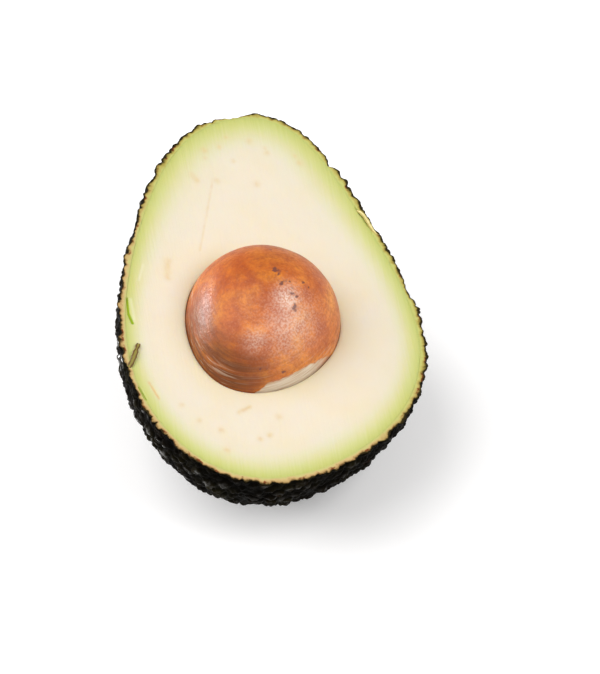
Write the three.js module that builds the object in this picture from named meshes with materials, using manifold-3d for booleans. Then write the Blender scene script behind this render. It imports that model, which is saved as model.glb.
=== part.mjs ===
// An avocado half with its seed, lying on its skin with the cut face up.
// Millimetres, +Z up, stem end toward +Y. The origin is the middle of the flat spot it rests on.

import * as THREE from 'three';
import { ConvexHull } from 'three/addons/math/ConvexHull.js';
import Module from 'manifold-3d';

// Fruit: a half ball, stretched and tapered toward the stem, with a slight bend
const LENGTH = 106; // blossom end to stem tip
const WIDTH = 70; // across the widest part of the cut face
const DEPTH = 35; // cut face to the deepest part of the back
const WIDTH_TAPER = [-0.317, 0.02, 0.216]; // y, y^2 and y^3 terms, y from -1 to 1 at the stem
const DEPTH_TAPER = [-0.15, 0.01, 0.12];
const BEND = [-1.8, 4.55]; // sideways shift of the middle line, y^2 and y^3 terms

// Skin
const SKIN = 1.3; // thickness from the fruit's mean surface
const SKIN_AT_REST = 0.8; // thickness left over the flat spot
const GAP = 0.35; // clearance between skin, flesh and seed
const BUMP_GROUND = 0.5; // ground between the bumps, under the fruit's mean surface
const BUMP_PITCH = 4.2; // least distance between the tops of two bumps
const BUMP_REACH = 3.4; // radius of a bump
const BUMP_HEIGHT = [0.7, 1.15]; // lowest and highest bump, from the ground
const BUMP_SHARPNESS = 1.5; // 1 for a plain dome
const BUMP_SEED = 7; // of the random order and heights
const STEM_ANGLE = 86; // degrees round the cut edge, where the stem tip is
const STEM_RADIUS = 10; // a low point round the stem tip
const STEM_HEIGHT = 0.8;
const STEM_CALM = 0.6; // how much of a bump's height is lost at the stem tip

// Seed: an egg, sunk a little over half way into the flesh
const SEED_RADIUS = 17.45;
const SEED_HALF_LENGTH = 19.75;
const SEED_TAPER = -0.134; // blunter toward the stem
const SEED_CENTRE = [-3, -10.2, -2]; // from the middle of the cut face
const SEED_TURN = -29; // degrees, long axis from the fruit's long axis

// Rest: cut face almost level, leaning to the front and to the right
const LEAN_FRONT = 7.8; // degrees
const LEAN_RIGHT = 9.5;
const CUT_CENTRE = [0, 10, 34.8]; // middle of the cut face above the flat spot

// Mesh fineness: points on each curved surface and on the cut edge
const SKIN_POINTS = 2900;
const INNER_POINTS = 600;
const SEED_POINTS = 560;
const EDGE_POINTS = 180;
const EDGE_MARGIN = 0.035; // unit height left free of points under the edge

const COLOUR = { skin: 0x2f2c1e, flesh: 0xf0e6bd, seed: 0xb5652f };

// Repeatable random numbers from 0 to 1
function seededRandom(seed) {
  let state = seed;
  return () => {
    state = (state * 16807) % 2147483647;
    return state / 2147483647;
  };
}

// Evenly spread directions on the unit ball, from z = top down to the bottom
function spreadDirections(count, top) {
  const golden = Math.PI * (3 - Math.sqrt(5));
  return Array.from({ length: count }, (_, i) => {
    const z = top - ((i + 0.5) / count) * (top + 1);
    const r = Math.sqrt(1 - z * z);
    return new THREE.Vector3(r * Math.cos(i * golden), r * Math.sin(i * golden), z);
  });
}

// Triangles of the convex hull of a list of points, as indices into the list
function hullTriangles(points) {
  const order = new Map(points.map((point, i) => [point, i]));
  return new ConvexHull().setFromPoints(points).faces.map(({ edge }) =>
    [edge.prev, edge, edge.next].map((corner) => order.get(corner.head().point)));
}

// Half ball open at z = 0: its edge points come first, in order, then the points below
function halfBall(count) {
  const edge = Array.from({ length: EDGE_POINTS }, (_, i) => {
    const angle = (i / EDGE_POINTS) * 2 * Math.PI;
    return new THREE.Vector3(Math.cos(angle), Math.sin(angle), 0);
  });
  const directions = [...edge, ...spreadDirections(count, -EDGE_MARGIN)];
  const apex = directions.length;
  const triangles = hullTriangles([...directions, new THREE.Vector3(0, 0, 1)])
    .filter((triangle) => !triangle.includes(apex));
  return { directions, triangles };
}

// A taper as a function of y, scaled so that the widest section has radius 1, with its slope
function taper([a, b, c]) {
  const value = (y) => 1 + a * y + b * y ** 2 + c * y ** 3;
  let widest = 0;
  for (let y = -1; y <= 1; y += 0.001) {
    widest = Math.max(widest, value(y) * Math.sqrt(1 - y * y));
  }
  return {
    at: (y) => value(y) / widest,
    slope: (y) => (a + 2 * b * y + 3 * c * y ** 2) / widest,
  };
}

const widthTaper = taper(WIDTH_TAPER);
const depthTaper = taper(DEPTH_TAPER);

// Point of the fruit's surface for a direction, moved out along the surface normal
function fruitPoint({ x, y, z }, out) {
  const wide = (WIDTH / 2) * widthTaper.at(y);
  const deep = DEPTH * depthTaper.at(y);
  const shift = BEND[0] * y ** 2 + BEND[1] * y ** 3;
  const shiftSlope = 2 * BEND[0] * y + 3 * BEND[1] * y ** 2;
  const wideSlope = (WIDTH / 2) * widthTaper.slope(y);
  const deepSlope = DEPTH * depthTaper.slope(y);
  const nx = x / wide;
  const nz = z / deep;
  const ny = (y - (shiftSlope + wideSlope * x) * nx - deepSlope * z * nz) / (LENGTH / 2);
  const normal = new THREE.Vector3(nx, ny, nz).normalize();
  return new THREE.Vector3(shift + wide * x, (LENGTH / 2) * y, deep * z).addScaledVector(normal, out);
}

// Height of the pebbled relief at each direction: bumps topped on mesh points, lower at the stem tip
function reliefHeights(directions) {
  const random = seededRandom(BUMP_SEED);
  const points = directions.map((direction) => fruitPoint(direction, 0));
  const order = points.map((point) => ({ point, rank: random() })).sort((a, b) => a.rank - b.rank);
  const bumps = [];
  for (const { point } of order) {
    if (bumps.every(({ top }) => top.distanceTo(point) > BUMP_PITCH)) {
      bumps.push({ top: point, height: THREE.MathUtils.lerp(...BUMP_HEIGHT, random()) });
    }
  }
  const stemAngle = THREE.MathUtils.degToRad(STEM_ANGLE);
  const stemTip = fruitPoint(new THREE.Vector3(Math.cos(stemAngle), Math.sin(stemAngle), 0), 0);
  return points.map((point) => {
    const dome = (top) => Math.max(0, 1 - (point.distanceTo(top) / BUMP_REACH) ** 2);
    const bump = Math.max(...bumps.map(({ top, height }) => height * dome(top) ** BUMP_SHARPNESS));
    const nearStem = Math.max(0, 1 - point.distanceTo(stemTip) / STEM_RADIUS);
    return bump * (1 - STEM_CALM * nearStem) + STEM_HEIGHT * nearStem - BUMP_GROUND;
  });
}

// Where the fruit lies: turned about its middle, then set on the surface
const lie = new THREE.Matrix4()
  .makeTranslation(...CUT_CENTRE)
  .multiply(new THREE.Matrix4().makeRotationX(THREE.MathUtils.degToRad(LEAN_FRONT)))
  .multiply(new THREE.Matrix4().makeRotationY(THREE.MathUtils.degToRad(LEAN_RIGHT)));

// Points of a curved layer under the skin's surface, pressed level above the flat spot
function layerPoints(directions, inset, floor) {
  return directions.map((direction) => {
    const point = fruitPoint(direction, -inset).applyMatrix4(lie);
    point.z = Math.max(point.z, floor);
    return point;
  });
}

const wasm = await Module();
wasm.setup();

// Closed solid from points and outward triangles
function solid(points, triangles) {
  return new wasm.Manifold(new wasm.Mesh({
    numProp: 3,
    vertProperties: new Float32Array(points.flatMap((point) => point.toArray())),
    triVerts: new Uint32Array(triangles.flat()),
  }));
}

function solidOf(geometry) {
  const corners = geometry.getAttribute('position');
  const points = [];
  const places = new Map();
  const index = Array.from(geometry.index.array, (i) => {
    const point = new THREE.Vector3().fromBufferAttribute(corners, i);
    const key = point.toArray().map((value) => value.toFixed(5)).join();
    if (!places.has(key)) places.set(key, points.push(point) - 1);
    return places.get(key);
  });
  const triangles = [];
  for (let i = 0; i < index.length; i += 3) triangles.push(index.slice(i, i + 3));
  return solid(points, triangles);
}

// Strip of triangles between two edges of EDGE_POINTS points each
function edgeStrip(first, second) {
  return Array.from({ length: EDGE_POINTS }, (_, i) => {
    const next = (i + 1) % EDGE_POINTS;
    return [[first + i, first + next, second + next], [first + i, second + next, second + i]];
  }).flat();
}

const flipped = (triangles) => triangles.map(([a, b, c]) => [a, c, b]);

// Skin: pebbled outside, smooth inside, flat where it rests
function makeSkin() {
  const outer = halfBall(SKIN_POINTS);
  const inner = halfBall(INNER_POINTS);
  const heights = reliefHeights(outer.directions);
  const outside = outer.directions.map((direction, i) =>
    fruitPoint(direction, heights[i]).applyMatrix4(lie));
  const inside = layerPoints(inner.directions, SKIN, SKIN_AT_REST);
  const start = outside.length;
  const insideTriangles = flipped(inner.triangles).map((triangle) => triangle.map((i) => i + start));
  const shell = solid(
    [...outside, ...inside],
    [...outer.triangles, ...insideTriangles, ...edgeStrip(0, start)],
  );
  const below = new THREE.BoxGeometry(2 * WIDTH, 2 * LENGTH, DEPTH).translate(0, 0, -DEPTH / 2);
  return shell.subtract(solidOf(below));
}

// Seed, or the hollow it lies in when it is swollen by the gap
function makeSeed(swell) {
  const turn = new THREE.Matrix4()
    .makeTranslation(...SEED_CENTRE)
    .multiply(new THREE.Matrix4().makeRotationZ(THREE.MathUtils.degToRad(SEED_TURN)));
  const directions = spreadDirections(SEED_POINTS, 1);
  const points = directions.map(({ x, y, z }) => {
    const radius = SEED_RADIUS * (1 - SEED_TAPER * y) + swell;
    return new THREE.Vector3(radius * x, (SEED_HALF_LENGTH + swell) * y, radius * z)
      .applyMatrix4(turn)
      .applyMatrix4(lie);
  });
  return solid(points, hullTriangles(directions));
}

// Flesh: fills the skin up to a plane cut face, with a hollow for the seed
function makeFlesh() {
  const { directions, triangles } = halfBall(INNER_POINTS);
  const points = layerPoints(directions, SKIN + GAP, SKIN_AT_REST + GAP);
  const middle = points.push(new THREE.Vector3().applyMatrix4(lie)) - 1;
  const cutFace = Array.from({ length: EDGE_POINTS }, (_, i) => [middle, i, (i + 1) % EDGE_POINTS]);
  return solid(points, [...triangles, ...cutFace]).subtract(makeSeed(GAP));
}

function namedMesh(name, manifold, roughness) {
  const { numProp, vertProperties, triVerts } = manifold.getMesh();
  const geometry = new THREE.BufferGeometry();
  const corners = new THREE.InterleavedBuffer(vertProperties, numProp);
  geometry.setAttribute('position', new THREE.InterleavedBufferAttribute(corners, 3, 0));
  geometry.setIndex(Array.from(triVerts));
  geometry.computeVertexNormals();
  const material = new THREE.MeshStandardMaterial({ color: COLOUR[name], roughness, metalness: 0 });
  const mesh = new THREE.Mesh(geometry, material);
  mesh.name = name;
  return mesh;
}

const avocado = new THREE.Group();
avocado.name = 'avocado_half';
avocado.add(
  namedMesh('skin', makeSkin(), 0.45),
  namedMesh('flesh', makeFlesh(), 0.6),
  namedMesh('seed', makeSeed(0), 0.4),
);

export default avocado;
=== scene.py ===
"""Looks of the avocado half: finer skin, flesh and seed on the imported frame.

The fruit's own frame is in millimetres: x to the right of the cut face, y to the stem end,
z out of the cut face, from the middle of that face. to_row() carries it to the row frame, still in
millimetres, and meshes are made from that in metres.
"""
import math

import bpy
import numpy as np
from mathutils import Matrix, Vector, noise


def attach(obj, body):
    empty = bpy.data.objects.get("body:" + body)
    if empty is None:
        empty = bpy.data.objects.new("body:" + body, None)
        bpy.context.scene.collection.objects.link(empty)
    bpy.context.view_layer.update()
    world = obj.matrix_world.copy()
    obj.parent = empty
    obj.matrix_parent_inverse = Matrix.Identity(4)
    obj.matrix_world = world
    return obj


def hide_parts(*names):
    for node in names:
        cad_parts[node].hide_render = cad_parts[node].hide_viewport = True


MM = 0.001

# Fruit: the same half ball as the solids, stretched, tapered and slightly bent
LENGTH = 106
WIDTH = 70
DEPTH = 35
WIDTH_TAPER = (-0.317, 0.02, 0.216)
DEPTH_TAPER = (-0.15, 0.01, 0.12)
BEND = (-1.8, 4.55)
LEAN_FRONT = math.radians(7.8)
LEAN_RIGHT = math.radians(9.5)
CUT_CENTRE = (0, 10, 34.8)

# Skin
SKIN = 1.3
SKIN_AT_REST = 0.8
PEBBLE_PITCH = 3.1
PEBBLE_HEIGHT = 1.0
SMALL_PITCH = 1.5
SMALL_HEIGHT = 0.5
PEBBLE_WARP = 0.6  # how far the pebbles are pulled out of shape, in waves of WARP_SIZE
SMALL_WARP = 0.4
WARP_SIZE = 3.5
ROUGHNESS = 0.1  # of the surface between and on the pebbles, in waves of ROUGHNESS_SIZE
ROUGHNESS_SIZE = 0.9
SINK = 0.25  # the pebbles' ground under the fruit's mean surface
STEM_ANGLE = 86  # of the stem tip on the rim, in degrees
STEM_RADIUS = 12
STEM_CALM = 0.7  # how much of the pebbles' height is lost at the stem tip
# Shallow dents: rim angle and dip under the cut edge in degrees, radius and depth.
# The stem tip is a negative one.
DENTS = (
    (98, 0, 4.5, 1.3), (45, 0, 1.2, 1.1), (160, 0, 3.0, 0.8), (0, 0, 5.0, 0.4),
    (STEM_ANGLE, 0, 2.0, -0.55), (222, 25, 14.0, 0.7),
)
# Cut edge of the skin: rows as shares of its thickness, its crown and its unevenness
EDGE_ROWS = (0.05, 0.2, 0.35, 0.5, 0.65, 0.8, 0.92)
EDGE_CROWN = 0.1
EDGE_UNEVEN = 0.08
EDGE_UNEVEN_SIZE = 1.5

# Flesh
SEAM = 0.03  # skin to flesh, where they are grown together
HOLLOW_GAP = 0.12  # seed to flesh
FACE_UNEVEN = 0.14  # of the cut face, in waves of FACE_UNEVEN_SIZE
FACE_UNEVEN_SIZE = 14
FIBRE_DEPTH = 0.1
FIBRE_STRENGTH = 0.5
CRACK_DEPTH = 0.35
SKIN_EDGE_DIP = 0.04  # how far the face rounds off at the skin and at the seed
SEED_EDGE_DIP = 0.15
EDGE_DIP_REACH = 0.3
# Width of the green under the skin: mean, more at the stem end, more at the right, less at both sides
GREEN_WIDTH = 10.8
GREEN_STEM = 2.7
GREEN_RIGHT = 1.2
GREEN_SIDES = 2.2
SEED_TINT_REACH = 20  # distance from the seed at which from_seed is 1
# Streaks are two ends, a radius and a strength. These are the cracks in the face by the skin.
CRACKS = (
    ((-32.5, -2.1), (-32.6, -6.6), 0.35, 0.9), ((-32.6, -6.6), (-32.0, -9.2), 0.4, 1.0),
    ((-32.7, -26.9), (-31.6, -30.3), 0.3, 0.9), ((24.9, 24.2), (27.2, 18.6), 0.22, 0.7),
)
# Cut fibres on the face: x, y and radius
FIBRE_DOTS = (
    (-5.2, 42.6, 0.7), (2.2, 44.5, 0.8), (-3.2, 45.7, 0.5), (-9.0, 41.6, 0.9), (6.0, 40.8, 0.8),
    (5.8, 42.4, 0.5), (13.6, 37.8, 0.9), (12.7, 39.9, 0.5), (2.3, 31.3, 0.8), (-7.2, 32.2, 0.8),
    (-2.5, 38.3, 0.6), (-9.1, 39.2, 0.6), (-2.4, -35.5, 0.8), (-5.1, -40.4, 0.8), (-7.3, -41.4, 0.7),
    (-15.7, -38.8, 0.8), (-20.4, -36.0, 0.6), (-15.3, -44.2, 0.9), (-23.7, -31.9, 0.6),
)
# Fibres cut along their length, and a scratch of the knife, as streaks
FIBRE_STREAKS = (
    ((-21.8, 8.6), (-22.4, 3.6), 0.8, 0.5), ((-30.3, -25.6), (-28.6, -30.2), 0.25, 1.0),
    ((-11.2, -34.2), (-8.5, -32.7), 0.5, 0.6), ((-12.9, 34.2), (-11.9, 32.2), 0.7, 0.5),
    ((-8.1, 32.5), (-13.9, 11.6), 0.3, 0.3),
)
# Pale edges that the knife left, as streaks
PALE_STREAKS = (((-27.7, 7.3), (-29.1, 3.0), 0.3, 0.5), ((-31.7, -2.4), (-31.5, -8.0), 0.3, 0.4))

# Seed
SEED_RADIUS = 17.45
SEED_HALF_LENGTH = 19.75
SEED_TAPER = -0.134
SEED_CENTRE = (-3, -10.2, -2)
SEED_TURN = math.radians(-29)
# Where the coat is torn off: middle and half width of the patch, in degrees round the seed, and its top
BARE_MIDDLE = -35
BARE_HALF = 37
BARE_TOP = 0.31
BARE_RAGGED = 0.05  # how far the patch's top wanders
BARE_EDGE = 0.012  # half width of the patch's soft edge
BARE_FADE = (12, 34)  # degrees from the patch's middle over which it dims at its right
COAT = 0.2  # thickness of the coat
SEED_UNEVEN = 0.12  # in waves of SEED_UNEVEN_SIZE
SEED_UNEVEN_SIZE = 9.0
# Directions from the seed's middle to its darkest side, darkened with streaks over painted shade, and to its
# left side, darkened with painted shade
DARK_SIDE = (-0.38, -0.86, 0.33)
LEFT_SHADE_SIDE = (-0.8, 0.15, 0.58)
# Dark specks on the coat: direction from the seed's middle, radius in mm and strength
SPECKS = (
    ((-0.03, 0.20, 0.98), 1.0, 1.0), ((0.01, 0.15, 0.99), 0.7, 0.9), ((0.11, 0.06, 0.99), 0.9, 1.0),
    ((0.19, 0.14, 0.97), 0.6, 0.8), ((0.40, -0.12, 0.91), 1.1, 1.0), ((0.29, 0.00, 0.96), 0.7, 1.0),
    ((0.35, 0.01, 0.94), 0.6, 0.9), ((0.34, 0.23, 0.91), 0.7, 0.9), ((0.34, 0.38, 0.86), 0.6, 0.8),
    ((-0.21, 0.55, 0.81), 0.7, 0.8), ((0.62, -0.66, 0.41), 0.7, 0.9), ((0.32, -0.80, 0.50), 0.6, 0.8),
    ((0.41, -0.77, 0.49), 0.6, 0.8), ((0.42, 0.22, 0.88), 0.5, 0.9),
    ((0.22, 0.12, 0.97), 5.5, 0.45), ((0.45, -0.75, 0.48), 4.0, 0.4), ((-0.2, -0.8, 0.56), 5.0, 0.3),
)
# Pale film on the coat, partly real and partly a painted sheen of the lights, as specks
FILMS_AND_SHEEN = (
    ((0.27, -0.08, 0.96), 3.2, 1.0), ((0.46, -0.30, 0.83), 6.5, 0.6), ((0.12, -0.62, 0.78), 3.0, 0.5),
    ((0.05, -0.35, 0.93), 6.0, 0.12),
)

# Two strips of peel loosened by the knife: path, width and how far round they curl, in degrees
SLIVER = (((-34.4, -21.5, 0.1), (-33.3, -19.8, 0.4), (-32.4, -17.6, 0.6), (-31.4, -15.2, 0.3)), 0.9, 110)
FLAKE = (((25.0, 23.4, 0.0), (26.5, 21.2, 0.4), (27.4, 18.6, 0.3), (28.9, 15.8, 0.1)), 0.75, 80)
PEEL_THICKNESS = 0.25

# Mesh fineness
COLUMNS = 900
SKIN_ROWS = 180
FACE_ROWS = 96
HIDDEN_ROWS = 14
SEED_ROWS = 170
SEED_COLUMNS = 340
PEEL_ROWS = 30
PEEL_COLUMNS = 9
POLE_GAP = math.radians(0.4)  # from a pole to the nearest row

# Floor and light, in metres and watts
FLOOR_HALF = 3.0
FLOOR_DROP = 0.0001  # under the fruit, so that the two don't share a plane
FLOOR_GLOW = 0.18
SKY = 0.35
LIGHT_TARGET = (0, 0, 0.025)
# Soft lights: name, place, width and height, power
LIGHTS = (
    ("overhead", (-0.6, 0.0, 0.95), (1.1, 1.1), 9.0),
    ("left", (-0.75, 0.47, 0.16), (0.5, 0.16), 8.0),
    ("right", (0.6, -0.37, 0.82), (0.7, 0.7), 5.8),
)

# Camera, fitted to the photograph
CAMERA_AZIMUTH = math.radians(-8.6)
CAMERA_ELEVATION = math.radians(45.9)
CAMERA_AIM = (6.36, 1.23, 27.32)
CAMERA_DISTANCE = 700
FOCAL_PIXELS = 3078
IMAGE_WIDTH = 600

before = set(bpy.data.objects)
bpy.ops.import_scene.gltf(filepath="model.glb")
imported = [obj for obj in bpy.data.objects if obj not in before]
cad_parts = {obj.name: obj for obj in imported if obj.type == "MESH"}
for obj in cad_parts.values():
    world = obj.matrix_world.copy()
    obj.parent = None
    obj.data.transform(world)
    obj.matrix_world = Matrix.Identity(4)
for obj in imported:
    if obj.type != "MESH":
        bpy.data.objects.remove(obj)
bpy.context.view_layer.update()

lie = (
    Matrix.Translation(CUT_CENTRE)
    @ Matrix.Rotation(LEAN_FRONT, 4, "X")
    @ Matrix.Rotation(LEAN_RIGHT, 4, "Y")
)


def to_row(points):
    """Fruit frame in mm to the row frame in mm."""
    turn = np.array(lie.to_3x3())
    return points @ turn.T + np.array(lie.translation)


def smooth(low, high, value):
    """0 at low, 1 at high and a soft step between; low may be the larger of the two."""
    t = np.clip((value - low) / (high - low), 0, 1)
    return t * t * (3 - 2 * t)


def fractal(points, size, octaves=3):
    """Soft noise about -1 to 1 for an array of points, its coarsest waves about one size long."""
    flat = points.reshape(-1, 3) / size
    values = [noise.fractal(Vector(point), 1.0, 2.0, octaves) for point in flat]
    return np.array(values).reshape(points.shape[:-1])


def pebbles(points, pitch):
    """Rounded pebbles about one pitch apart: 0 in the creases between them, 1 on the highest tops."""
    def height(point):
        near, centres = noise.voronoi(point)
        dome = max(0, 1 - (near[0] / 0.85) ** 2)
        crease = min(1, (near[1] - near[0]) / 0.45)
        size = 0.75 + 0.45 * noise.noise(centres[0] * 2.7)
        return size * dome * (0.2 + 0.8 * crease * (2 - crease))
    flat = points.reshape(-1, 3) / pitch
    return np.array([height(Vector(point)) for point in flat]).reshape(points.shape[:-1])


# Shape of the fruit

def taper(y, terms):
    """A taper and its slope at y, scaled so that the widest section has radius 1."""
    a, b, c = terms
    spread = np.linspace(-1, 1, 2001)
    widest = ((1 + a * spread + b * spread**2 + c * spread**3) * np.sqrt(1 - spread**2)).max()
    return (1 + a * y + b * y**2 + c * y**3) / widest, (a + 2 * b * y + 3 * c * y**2) / widest


def fruit_points(directions, out):
    """Points of the fruit's surface for unit directions, moved out along the surface normal."""
    x, y, z = np.moveaxis(directions, -1, 0)
    wide, wide_slope = (WIDTH / 2 * value for value in taper(y, WIDTH_TAPER))
    deep, deep_slope = (DEPTH * value for value in taper(y, DEPTH_TAPER))
    shift = BEND[0] * y**2 + BEND[1] * y**3
    shift_slope = 2 * BEND[0] * y + 3 * BEND[1] * y**2
    nx = x / wide
    nz = z / deep
    ny = (y - (shift_slope + wide_slope * x) * nx - deep_slope * z * nz) / (LENGTH / 2)
    normals = np.stack((nx, ny, nz), -1)
    normals /= np.linalg.norm(normals, axis=-1, keepdims=True)
    points = np.stack((shift + wide * x, LENGTH / 2 * y, deep * z), -1)
    return points + normals * np.asarray(out)[..., None]


round_angles = np.linspace(0, 2 * math.pi, COLUMNS, endpoint=False)


def bowl_directions(dips):
    """Unit directions of level rows at these dips below the cut face."""
    dips = np.asarray(dips)[:, None]
    return np.stack((
        np.cos(dips) * np.cos(round_angles),
        np.cos(dips) * np.sin(round_angles),
        -np.sin(dips) * np.ones_like(round_angles),
    ), -1)


def away_from(points, angle, dip):
    """Distance of points from the place at this rim angle and dip under the cut edge, in degrees."""
    angle, dip = math.radians(angle), math.radians(dip)
    direction = np.array((math.cos(dip) * math.cos(angle), math.cos(dip) * math.sin(angle), -math.sin(dip)))
    return np.linalg.norm(points - fruit_points(direction, 0), axis=-1)


def press_level(points, floor):
    """Lifts what would lie under a level floor, given in mm above the surface the fruit rests on."""
    row = to_row(points)
    row[..., 2] = np.maximum(row[..., 2], floor)
    return (row - np.array(lie.translation)) @ np.array(lie.to_3x3())


# Meshes

def mesh_of_rows(name, rows, attributes, material, node):
    """A closed piece from rows of points in the fruit frame, each row a loop, with a cap at each end."""
    count, columns, _ = rows.shape
    first = np.arange(count - 1)[:, None] * columns
    here = np.arange(columns)
    after = (here + 1) % columns
    quads = np.stack((first + here, first + after, first + columns + after, first + columns + here), -1)
    start_pole = count * columns
    end_pole = start_pole + 1
    last = (count - 1) * columns
    start_cap = [(start_pole, int(b), int(a)) for a, b in zip(here, after)]
    end_cap = [(end_pole, int(last + a), int(last + b)) for a, b in zip(here, after)]
    points = np.concatenate((rows.reshape(-1, 3), rows[:1].mean(1), rows[-1:].mean(1)))
    mesh = bpy.data.meshes.new(name)
    faces = quads.reshape(-1, 4).tolist() + start_cap + end_cap
    mesh.from_pydata((to_row(points) * MM).tolist(), [], faces)
    mesh.shade_smooth()
    for key, values in attributes.items():
        flat = np.concatenate((values.ravel(), values[:1].mean(1), values[-1:].mean(1)))
        mesh.attributes.new(key, "FLOAT", "POINT").data.foreach_set("value", flat)
    fruit_mm = mesh.attributes.new("fruit_mm", "FLOAT_VECTOR", "POINT")
    fruit_mm.data.foreach_set("vector", points.ravel())
    mesh.materials.append(material)
    piece = bpy.data.objects.new(name, mesh)
    bpy.context.scene.collection.objects.link(piece)
    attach(piece, "root")
    if node:
        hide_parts(node)
    return piece


# Materials

def add(tree, kind, inputs=(), **settings):
    """Adds a node: inputs pairs a socket's name or number with a value or with another node's socket."""
    node = tree.nodes.new(kind)
    for key, value in settings.items():
        setattr(node, key, value)
    for key, value in dict(inputs).items():
        if isinstance(value, bpy.types.NodeSocket):
            tree.links.new(value, node.inputs[key])
        else:
            node.inputs[key].default_value = value
    return node


def attribute(tree, name):
    node = add(tree, "ShaderNodeAttribute", attribute_name=name)
    return node.outputs["Vector" if name == "fruit_mm" else "Fac"]


def place(tree, stretch=(1, 1, 1)):
    """The fruit frame in mm, stretched for long grain."""
    node = add(tree, "ShaderNodeMapping", {"Vector": attribute(tree, "fruit_mm"), "Scale": stretch})
    return node.outputs["Vector"]


def waves(tree, vector, size, detail=3.0, distortion=0.0):
    """Noise from 0 to 1 with waves about one size long, in mm."""
    inputs = {"Vector": vector, "Scale": 1 / size, "Detail": detail, "Distortion": distortion}
    return add(tree, "ShaderNodeTexNoise", inputs).outputs["Fac"]


def ramp(tree, factor, stops):
    """Colours or greys along a factor; stops pairs places with colours."""
    node = add(tree, "ShaderNodeValToRGB", {"Fac": factor})
    elements = node.color_ramp.elements
    while len(elements) < len(stops):
        elements.new(0.5)
    for element, (where, colour) in zip(elements, stops):
        element.position = where
        element.color = (*colour, 1) if isinstance(colour, tuple) else (colour, colour, colour, 1)
    return node.outputs["Color"]


def mix(tree, factor, a, b, blend="MIX"):
    node = add(tree, "ShaderNodeMix", {0: factor}, data_type="RGBA", blend_type=blend)
    for socket, value in ((node.inputs[6], a), (node.inputs[7], b)):
        if isinstance(value, bpy.types.NodeSocket):
            tree.links.new(value, socket)
        else:
            socket.default_value = (*value, 1)
    return node.outputs[2]


def calc(tree, operation, a, b=0.0, clamp=False):
    node = add(tree, "ShaderNodeMath", {0: a, 1: b}, operation=operation, use_clamp=clamp)
    return node.outputs[0]


def bump(tree, height, distance, strength=1.0, below=None):
    inputs = {"Height": height, "Distance": distance * MM, "Strength": strength}
    if below:
        inputs["Normal"] = below
    return add(tree, "ShaderNodeBump", inputs).outputs["Normal"]


def new_material(name):
    """An empty material with its tree and its Principled shader."""
    material = bpy.data.materials.new(name)
    material.use_nodes = True
    tree = material.node_tree
    return material, tree, tree.nodes["Principled BSDF"]


def feed(tree, shader, **sockets):
    """Sets or links a shader's sockets; an underscore in a name stands for a space."""
    for key, value in sockets.items():
        socket = shader.inputs[key.replace("_", " ")]
        if isinstance(value, bpy.types.NodeSocket):
            tree.links.new(value, socket)
        else:
            socket.default_value = value


def skin_material():
    """Near-black pebbles, and a tan to olive band where the skin is cut."""
    material, tree, shader = new_material("skin")
    height = attribute(tree, "height")
    across = attribute(tree, "across")
    fine = waves(tree, place(tree), 0.7, 4)
    # Darker in the creases between the pebbles than on their tops: painted shade in the creases
    rind = ramp(tree, height, (
        (0.0, (0.001, 0.0008, 0.0005)), (0.5, (0.0025, 0.0018, 0.0009)), (1.0, (0.0075, 0.0052, 0.0021)),
    ))
    olive = ramp(tree, waves(tree, place(tree), 9, 4), (
        (0.45, (0.0, 0.0, 0.0)), (0.75, (0.009, 0.008, 0.0017)),
    ))
    rind = mix(tree, height, rind, olive, "ADD")
    rust = ramp(tree, waves(tree, place(tree), 2.2, 3), ((0.66, 0.0), (0.76, 0.5)))
    rind = mix(tree, rust, rind, (0.035, 0.014, 0.006))
    fruit = add(tree, "ShaderNodeSeparateXYZ", {"Vector": attribute(tree, "fruit_mm")}).outputs
    leftward = calc(tree, "DIVIDE", calc(tree, "ADD", fruit["X"], 14.0), -16.0, True)
    wet = ramp(tree, waves(tree, place(tree), 1.6, 3), ((0.5, 0.03), (0.6, 1.0)))
    wet = calc(tree, "MULTIPLY", wet, ramp(tree, leftward, ((0.0, 0.25), (1.0, 1.0))))
    patch = calc(tree, "MULTIPLY", waves(tree, place(tree), 8, 2), 20.0)
    left_part = calc(tree, "MULTIPLY", fruit["X"], -0.75)
    low_part = calc(tree, "MULTIPLY", fruit["Y"], 0.65)
    low_left = calc(tree, "SUBTRACT", left_part, low_part)
    low_left = calc(tree, "DIVIDE", calc(tree, "ADD", low_left, patch), 30.0, True)
    uneven = calc(tree, "MULTIPLY", calc(tree, "SUBTRACT", waves(tree, place(tree), 1.8, 4), 0.5), 1.2)
    depth = calc(tree, "ADD", across, uneven)
    outer = calc(tree, "SUBTRACT", depth, calc(tree, "MULTIPLY", low_left, 0.12))
    olive_cut = ramp(tree, depth, (
        (0.1, (0.54, 0.55, 0.17)), (0.3, (0.5, 0.44, 0.12)), (0.55, (0.38, 0.3, 0.07)),
    ))
    tan_cut = ramp(tree, depth, (
        (0.15, (0.56, 0.54, 0.2)), (0.4, (0.63, 0.46, 0.2)), (0.75, (0.44, 0.27, 0.1)),
    ))
    band = mix(tree, low_left, olive_cut, tan_cut)
    red = ramp(tree, waves(tree, place(tree), 2.4, 2), ((0.56, 0.0), (0.63, 1.0)))
    red = calc(tree, "MULTIPLY", red, ramp(tree, depth, ((0.35, 0.0), (0.55, 1.0))))
    band = mix(tree, red, band, (0.22, 0.06, 0.02))
    band = mix(tree, ramp(tree, outer, ((0.52, 0.0), (0.76, 1.0))), band, (0.03, 0.022, 0.008))
    crack = ramp(tree, attribute(tree, "crack"), ((0.35, 0.0), (0.7, 1.0)))
    band = mix(tree, crack, band, (0.3, 0.4, 0.008))
    feed(
        tree, shader,
        Base_Color=mix(tree, attribute(tree, "cut"), rind, band),
        Roughness=ramp(tree, fine, ((0.3, 0.4), (0.7, 0.6))),
        Specular_IOR_Level=0.008,
        Coat_Weight=calc(tree, "MULTIPLY", wet, ramp(tree, height, ((0.5, 0.05), (0.8, 1.0)))),
        Coat_Roughness=0.07,
        Normal=bump(tree, fine, 0.12),
    )
    return material


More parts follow.
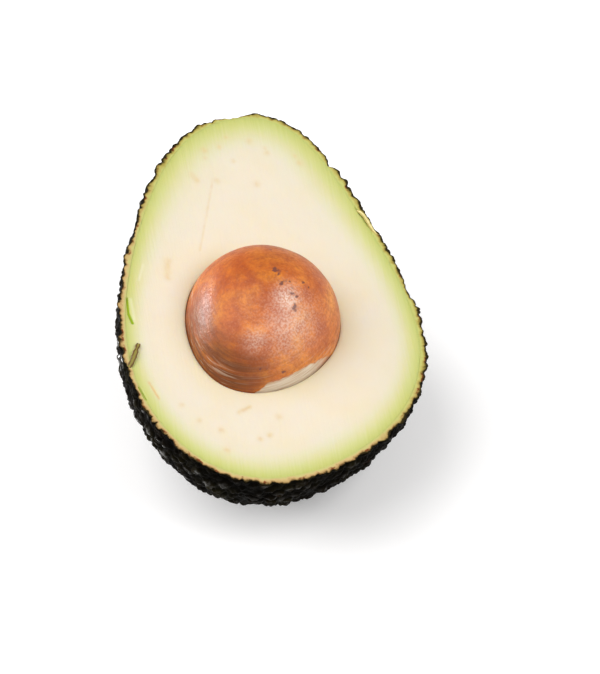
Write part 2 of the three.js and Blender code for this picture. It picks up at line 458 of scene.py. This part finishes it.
def flesh_material():
    """Green by the skin to cream inside, yellower by the seed, with fibres, cracks and fine knife grooves."""
    material, tree, shader = new_material("flesh")
    from_skin = attribute(tree, "from_skin")
    from_seed = attribute(tree, "from_seed")
    fibre = attribute(tree, "fibre")
    pale = attribute(tree, "pale")
    cloud = waves(tree, place(tree), 13, 3)
    knife = waves(tree, place(tree, (2.2, 0.09, 1)), 1.0, 3)
    wander = calc(tree, "ADD", calc(tree, "MULTIPLY", cloud, 0.06), calc(tree, "MULTIPLY", knife, 0.16))
    shifted = calc(tree, "SUBTRACT", calc(tree, "ADD", from_skin, wander), 0.11)
    body = ramp(tree, shifted, (
        (0.0, (0.52, 0.555, 0.155)), (0.07, (0.576, 0.597, 0.2)), (0.19, (0.639, 0.647, 0.27)),
        (0.33, (0.712, 0.68, 0.39)), (0.47, (0.754, 0.714, 0.5)), (0.62, (0.795, 0.725, 0.57)),
        (1.0, (0.82, 0.735, 0.59)),
    ))
    body = mix(tree, ramp(tree, cloud, ((0.42, 0.0), (0.7, 1.0))), body, (1.0, 0.975, 0.9), "MULTIPLY")
    body = mix(tree, ramp(tree, from_seed, ((0.0, 0.45), (0.06, 0.25), (0.3, 0.0))), body, (0.78, 0.64, 0.32))
    body = mix(tree, fibre, body, (0.74, 0.55, 0.27))
    body = mix(tree, pale, body, (0.82, 0.8, 0.6))
    crack = ramp(tree, attribute(tree, "crack"), ((0.35, 0.0), (0.7, 1.0)))
    body = mix(tree, crack, body, (0.3, 0.42, 0.008))
    moist = ramp(tree, cloud, ((0.3, 0.42), (0.7, 0.58)))
    grooves = bump(tree, knife, 0.1, 0.5)
    feed(
        tree, shader,
        Base_Color=body,
        Roughness=moist,
        Specular_IOR_Level=0.35,
        Subsurface_Weight=0.35,
        Subsurface_Radius=(1.0, 0.75, 0.3),
        Subsurface_Scale=2.0 * MM,
        Normal=bump(tree, waves(tree, place(tree), 0.8, 3), 0.05, 0.6, grooves),
    )
    return material


def seed_material():
    """A mottled brown coat, streaked round its edge, with dark specks, a pale film partly painted as sheen,
    painted shade on two sides, and a bare torn patch.
    """
    material, tree, shader = new_material("seed")
    bare = attribute(tree, "bare")
    shade = attribute(tree, "shade")
    rim = attribute(tree, "rim")
    rings = add(tree, "ShaderNodeCombineXYZ", {"X": attribute(tree, "tilt")}).outputs["Vector"]
    drift = place(tree, (0.15, 0.15, 0.15))
    along = add(tree, "ShaderNodeVectorMath", {0: rings, 1: drift}, operation="ADD").outputs["Vector"]
    grain = waves(tree, along, 1.0, 4, 0.4)
    hair = waves(tree, along, 0.55, 3, 0.3)
    cloud = waves(tree, place(tree), 7, 4, 0.3)
    mottle = waves(tree, place(tree), 0.75, 5, 0.1)
    fine = waves(tree, place(tree), 0.45, 3)
    coat = ramp(tree, cloud, (
        (0.36, (0.5, 0.105, 0.016)), (0.5, (0.68, 0.18, 0.022)), (0.64, (0.8, 0.27, 0.028)),
    ))
    blotch = waves(tree, place(tree), 2.6, 5, 0.2)
    coat = mix(tree, ramp(tree, blotch, ((0.45, 0.0), (0.68, 0.5))), coat, (0.4, 0.075, 0.018))
    coat = mix(tree, ramp(tree, grain, ((0.48, 0.0), (0.72, 0.4))), coat, (0.36, 0.07, 0.016))
    coat = mix(tree, ramp(tree, mottle, ((0.45, 0.0), (0.75, 0.6))), coat, (0.38, 0.075, 0.022))
    coat = mix(tree, ramp(tree, fine, ((0.55, 0.0), (0.78, 0.3))), coat, (0.76, 0.34, 0.12))
    # Painted shade: the coat darkens towards its left side
    coat = mix(tree, attribute(tree, "left_shade"), coat, (0.68, 0.58, 0.5), "MULTIPLY")
    # Dark streaks on the dark side over a painted shade that darkens that side even between the streaks
    dark = calc(tree, "MULTIPLY", ramp(tree, grain, ((0.35, 0.65), (0.6, 1.0))), shade)
    coat = mix(tree, dark, coat, (0.17, 0.05, 0.014))
    pale_hair = calc(tree, "MULTIPLY", ramp(tree, hair, ((0.54, 0.0), (0.7, 0.55))), rim)
    coat = mix(tree, pale_hair, coat, (0.6, 0.42, 0.3))
    # The film spots are partly painted sheen, paler where the lights would gleam on the coat
    film_and_sheen = calc(tree, "MULTIPLY", attribute(tree, "film_and_sheen"), ramp(tree, fine, ((0.4, 0.35), (0.6, 1.0))))
    coat = mix(tree, film_and_sheen, coat, (0.82, 0.61, 0.5))
    ragged = calc(tree, "MULTIPLY", calc(tree, "SUBTRACT", waves(tree, place(tree), 0.9, 5), 0.5), 1.6)
    speck = ramp(tree, calc(tree, "ADD", attribute(tree, "speck"), ragged), ((0.55, 0.0), (0.85, 0.85)))
    coat = mix(tree, speck, coat, (0.14, 0.05, 0.045))
    torn = ramp(tree, hair, ((0.35, (0.6, 0.42, 0.27)), (0.55, (0.76, 0.65, 0.52))))
    feed(
        tree, shader,
        Base_Color=mix(tree, bare, coat, torn),
        Roughness=mix(tree, bare, ramp(tree, mottle, ((0.3, 0.3), (0.7, 0.48))), (0.65, 0.65, 0.65)),
        Specular_IOR_Level=0.3,
        Subsurface_Weight=0.06,
        Subsurface_Radius=(1.0, 0.4, 0.15),
        Subsurface_Scale=1.0 * MM,
        Normal=bump(tree, fine, 0.05, 0.7, bump(tree, mottle, 0.08, 0.7)),
    )
    return material


def peel_material(name, middle, edge):
    """A strip of peel, paler along its middle than on its edges and its back."""
    material, tree, shader = new_material(name)
    uneven = calc(tree, "MULTIPLY", calc(tree, "SUBTRACT", waves(tree, place(tree), 1.2, 3), 0.5), 1.8)
    factor = calc(tree, "ADD", attribute(tree, "edge"), uneven)
    feed(
        tree, shader,
        Base_Color=ramp(tree, factor, ((0.3, middle), (0.9, edge))),
        Roughness=0.45,
        Specular_IOR_Level=0.3,
        Normal=bump(tree, waves(tree, place(tree), 0.5, 3), 0.06),
    )
    return material


# Pieces

def make_skin():
    """A pebbled shell: rows run up the inside to the cut, across the cut edge and down the outside."""
    inner_dips = np.linspace(math.pi / 2 - POLE_GAP, 0, HIDDEN_ROWS)
    inner_inset = np.full((HIDDEN_ROWS, COLUMNS), -SKIN)
    inner = press_level(fruit_points(bowl_directions(inner_dips), inner_inset), SKIN_AT_REST)
    outer_dips = np.linspace(0, math.pi / 2 - POLE_GAP, SKIN_ROWS)
    directions = bowl_directions(outer_dips)
    ground = fruit_points(directions, np.zeros((SKIN_ROWS, COLUMNS)))
    shifts = ((0, 0, 0), (40, 0, 0), (0, 40, 0))  # far enough apart for unlike noise along each axis
    warp = np.stack([fractal(ground + shift, WARP_SIZE) for shift in shifts], -1)
    tops = pebbles(ground + PEBBLE_WARP * warp, PEBBLE_PITCH)
    small = pebbles(ground + SMALL_WARP * warp, SMALL_PITCH)
    relief = PEBBLE_HEIGHT * tops + SMALL_HEIGHT * small + ROUGHNESS * fractal(ground, ROUGHNESS_SIZE, 4)
    near_stem = np.clip(1 - away_from(ground, STEM_ANGLE, 0) / STEM_RADIUS, 0, 1)
    relief = relief * (1 - STEM_CALM * near_stem) - SINK
    for angle, dip, radius, dent in DENTS:
        relief -= dent * np.exp(-((away_from(ground, angle, dip) / radius) ** 2))
    tops = np.clip(tops + 0.25 * small, 0, 1)
    outer = press_level(fruit_points(directions, relief), 0)
    across = np.array(EDGE_ROWS)[:, None]
    edge_directions = np.repeat(directions[:1], len(across), 0)
    edge = fruit_points(edge_directions, -SKIN + across * (SKIN + relief[:1]))
    edge_crack = marks_on(edge, CRACKS)
    edge_lift = EDGE_CROWN * np.sin(math.pi * across) + EDGE_UNEVEN * fractal(edge, EDGE_UNEVEN_SIZE)
    edge[..., 2] += edge_lift - CRACK_DEPTH * edge_crack
    rows = np.concatenate((inner, edge, outer))
    inside, rim, outside = (np.zeros(part.shape[:-1]) for part in (inner, edge, outer))
    attributes = {
        "height": np.concatenate((inside, rim, tops)),
        "cut": np.concatenate((inside + 1, rim + 1, outside)),
        "across": np.concatenate((inside, rim + across, outside + 1)),
        "crack": np.concatenate((inside, edge_crack, outside)),
    }
    return mesh_of_rows("skin_pebbled", rows, attributes, skin_material(), "skin")


def seed_points(directions, swell):
    """Points of the seed's egg in the fruit frame for unit directions in its own frame."""
    x, y, z = np.moveaxis(directions, -1, 0)
    radius = SEED_RADIUS * (1 - SEED_TAPER * y) + swell
    points = np.stack((radius * x, (SEED_HALF_LENGTH + swell) * y, radius * z), -1)
    turn = np.array(Matrix.Rotation(SEED_TURN, 3, "Z"))
    return points @ turn.T + np.array(SEED_CENTRE)


def marks_on(face, streaks):
    """The streaks' strength on the face, fading to 0 round them."""
    marks = np.zeros(face.shape[:-1])
    for start, end, radius, strength in streaks:
        start = np.array(start)
        line = np.array(end) - start
        offset = face[..., :2] - start
        along = np.clip(offset @ line / max(line @ line, 1e-9), 0, 1)
        distance = np.linalg.norm(offset - along[..., None] * line, axis=-1)
        marks = np.maximum(marks, strength * np.exp(-((distance / radius) ** 2)))
    return marks


def make_flesh():
    """Rows run from the hollow's floor up to the cut face, across it to the skin and down inside the skin."""
    level = -SEED_CENTRE[2] / SEED_RADIUS
    heights = np.sin(np.linspace(-math.pi / 2 + POLE_GAP, math.asin(level), HIDDEN_ROWS))[:, None]
    reach = np.sqrt(1 - heights**2)
    turned = round_angles - SEED_TURN
    hollow_directions = np.stack((
        reach * np.cos(turned), reach * np.sin(turned), heights * np.ones_like(round_angles),
    ), -1)
    hollow = seed_points(hollow_directions, HOLLOW_GAP)
    mouth = hollow[-1:].copy()
    mouth[..., 2] = 0
    rim = fruit_points(bowl_directions([0]), np.full((1, COLUMNS), -SKIN - SEAM))
    spread = (1 - np.cos(np.linspace(0, math.pi, FACE_ROWS)))[:, None, None] / 2
    face = mouth + (rim - mouth) * spread
    skin_line = fruit_points(bowl_directions([0]), np.full((1, COLUMNS), -SKIN))[0]
    from_skin = np.stack([
        np.linalg.norm(row[:, None, :2] - skin_line[None, ::2, :2], axis=-1).min(1) for row in face
    ])
    from_seed = np.linalg.norm(face - mouth, axis=-1)
    green_width = GREEN_WIDTH + GREEN_STEM * np.sin(round_angles) + GREEN_RIGHT * np.cos(round_angles)
    green_width -= GREEN_SIDES * np.cos(2 * round_angles)
    dots = [((x, y), (x, y), radius, FIBRE_STRENGTH) for x, y, radius in FIBRE_DOTS]
    fibre = marks_on(face, (*dots, *FIBRE_STREAKS)) * (1 + 0.6 * fractal(face, 1.2))
    pale = marks_on(face, PALE_STREAKS)
    crack = marks_on(face, CRACKS)
    face[..., 2] += FACE_UNEVEN * fractal(face, FACE_UNEVEN_SIZE) - FIBRE_DEPTH * fibre - CRACK_DEPTH * crack
    face[..., 2] -= SKIN_EDGE_DIP * np.exp(-from_skin / EDGE_DIP_REACH)
    face[..., 2] -= SEED_EDGE_DIP * np.exp(-from_seed / EDGE_DIP_REACH)
    outer_dips = np.linspace(0.012, math.pi / 2 - POLE_GAP, HIDDEN_ROWS + 10)
    outer_directions = bowl_directions(outer_dips)
    outer_inset = np.full(outer_directions.shape[:-1], -SKIN - SEAM)
    outer = press_level(fruit_points(outer_directions, outer_inset), SKIN_AT_REST + SEAM)
    rows = np.concatenate((hollow[:-1], face, outer))
    inside, outside = (np.zeros(part.shape[:-1]) for part in (hollow[:-1], outer))
    attributes = {
        "from_skin": np.concatenate((inside + 1, np.clip(from_skin / green_width, 0, 1), outside)),
        "from_seed": np.concatenate((inside, np.clip(from_seed / SEED_TINT_REACH, 0, 1), outside + 1)),
        "fibre": np.concatenate((inside, fibre, outside)),
        "pale": np.concatenate((inside, pale, outside)),
        "crack": np.concatenate((inside, crack, outside)),
    }
    return mesh_of_rows("flesh_cut", rows, attributes, flesh_material(), "flesh")


def make_seed():
    """An egg with a soft unevenness, and a patch where its coat is torn off."""
    along = np.linspace(-math.pi / 2 + POLE_GAP, math.pi / 2 - POLE_GAP, SEED_ROWS)[:, None]
    around = np.linspace(0, 2 * math.pi, SEED_COLUMNS, endpoint=False)
    directions = np.stack((
        np.cos(along) * np.sin(around), np.sin(along) * np.ones_like(around), np.cos(along) * np.cos(around),
    ), -1)
    x, y, z = np.moveaxis(directions, -1, 0)
    egg = seed_points(directions, 0)
    side = (np.degrees(np.arctan2(y, x)) - BARE_MIDDLE + 180) % 360 - 180
    top = BARE_TOP * (1 - (np.abs(side) / BARE_HALF) ** 4) + BARE_RAGGED * fractal(egg, 3.0)
    bare = smooth(-BARE_EDGE, BARE_EDGE, top - z) * (np.abs(side) < BARE_HALF + 8)

    def mark(direction, radius, strength):
        away = np.linalg.norm(directions - np.array(direction), axis=-1) * SEED_RADIUS
        return strength * np.exp(-((away / radius) ** 2))

    attributes = {
        "bare": bare * (1 - 0.65 * smooth(*BARE_FADE, side)),
        "speck": np.max([mark(*speck) for speck in SPECKS], 0),
        "film_and_sheen": np.max([mark(*film_and_sheen) for film_and_sheen in FILMS_AND_SHEEN], 0),
        "tilt": np.arccos(np.clip(z, -1, 1)) * SEED_RADIUS,
        # painted shade with streaks, on the dark side near the flesh
        "shade": smooth(0.4, 0.95, directions @ np.array(DARK_SIDE)) * smooth(0.9, 0.45, z),
        "rim": smooth(0.55, 0.25, z),
        # painted shade, strongest towards the left side
        "left_shade": smooth(0.35, 0.98, directions @ np.array(LEFT_SHADE_SIDE)),
    }
    rows = seed_points(directions, SEED_UNEVEN * fractal(egg, SEED_UNEVEN_SIZE) - COAT * bare)
    return mesh_of_rows("seed_egg", rows, attributes, seed_material(), "seed")


def make_peel(name, path, width, curl, colours):
    """A thin strip of peel along a smooth path, curled up at its edges; thinner towards its ends."""
    knots = np.array(path)
    steps = np.linspace(0, 1, PEEL_ROWS)
    places = np.linspace(0, 1, len(knots))
    curves = [np.polyfit(places, column, len(knots) - 1) for column in knots.T]
    spine = np.stack([np.polyval(curve, steps) for curve in curves], -1)
    ahead = np.gradient(spine, axis=0)
    ahead /= np.linalg.norm(ahead, axis=-1, keepdims=True)
    side = np.cross(ahead, (0, 0, 1))
    side /= np.linalg.norm(side, axis=-1, keepdims=True)
    up = np.cross(side, ahead)
    half = np.radians(curl) / 2
    turn = np.linspace(-half, half, PEEL_COLUMNS)
    radius = width / 2 / math.sin(half) * (0.3 + 0.7 * np.sin(math.pi * (0.08 + 0.87 * steps)))
    radius *= 1 + 0.6 * fractal(spine, 1.6)
    loops = []
    for row in range(PEEL_ROWS):
        for grow, order in ((0, 1), (PEEL_THICKNESS, -1)):
            size = radius[row] + grow
            across = np.sin(turn[::order])[:, None] * side[row]
            lift = -np.cos(turn[::order])[:, None] * up[row]
            loops.append(spine[row] + radius[row] * up[row] + size * (across + lift))
    rows = np.array(loops).reshape(PEEL_ROWS, 2 * PEEL_COLUMNS, 3)
    edge = np.abs(turn) / half
    edges = np.tile(np.concatenate((edge, np.ones(PEEL_COLUMNS))), (PEEL_ROWS, 1))
    return mesh_of_rows(name, rows, {"edge": edges}, peel_material(name, *colours), None)


# Setting: floor, lights and camera

def make_floor():
    mesh = bpy.data.meshes.new("floor")
    sides = ((-1, -1), (1, -1), (1, 1), (-1, 1))
    corners = [(x * FLOOR_HALF, y * FLOOR_HALF, -FLOOR_DROP) for x, y in sides]
    mesh.from_pydata(corners, [], [(0, 1, 2, 3)])
    material, tree, shader = new_material("floor")
    feed(
        tree, shader,
        Base_Color=(0.93, 0.92, 0.915, 1),
        Roughness=0.8,
        Specular_IOR_Level=0.2,
        Emission_Color=(1, 1, 1, 1),
        Emission_Strength=FLOOR_GLOW,
    )
    mesh.materials.append(material)
    floor = bpy.data.objects.new("floor", mesh)
    bpy.context.scene.collection.objects.link(floor)


def add_light(name, location, size, watts):
    """A soft light of some width and height that looks at the fruit."""
    data = bpy.data.lights.new(name, "AREA")
    data.shape = "RECTANGLE"
    data.size, data.size_y = size
    data.energy = watts
    light = bpy.data.objects.new(name, data)
    light.location = location
    light.rotation_euler = (Vector(LIGHT_TARGET) - Vector(location)).to_track_quat("-Z", "Y").to_euler()
    bpy.context.scene.collection.objects.link(light)


def make_light():
    world = bpy.data.worlds.new("studio")
    world.use_nodes = True
    sky = world.node_tree.nodes["Background"].inputs
    sky["Color"].default_value = (1, 1, 1, 1)
    sky["Strength"].default_value = SKY
    bpy.context.scene.world = world
    for light in LIGHTS:
        add_light(*light)


def make_camera():
    """The camera looks along the photograph's direction, with the photograph's frame."""
    a, e = CAMERA_AZIMUTH, CAMERA_ELEVATION
    back = Vector((math.sin(a) * math.cos(e), -math.cos(a) * math.cos(e), math.sin(e)))
    data = bpy.data.cameras.new("camera")
    data.sensor_fit = "HORIZONTAL"
    data.lens = data.sensor_width * FOCAL_PIXELS / IMAGE_WIDTH
    data.clip_start = 0.01
    camera = bpy.data.objects.new("camera", data)
    camera.location = (Vector(CAMERA_AIM) + CAMERA_DISTANCE * back) * MM
    camera.rotation_euler = back.to_track_quat("Z", "Y").to_euler()
    bpy.context.scene.collection.objects.link(camera)
    bpy.context.scene.camera = camera


make_camera()
make_light()
make_floor()
make_skin()
make_flesh()
make_seed()
make_peel("peel_sliver", *SLIVER, ((0.3, 0.25, 0.05), (0.15, 0.08, 0.025)))
make_peel("peel_flake", *FLAKE, ((0.86, 0.74, 0.34), (0.55, 0.45, 0.13)))
bpy.context.scene.view_settings.view_transform = "Standard"
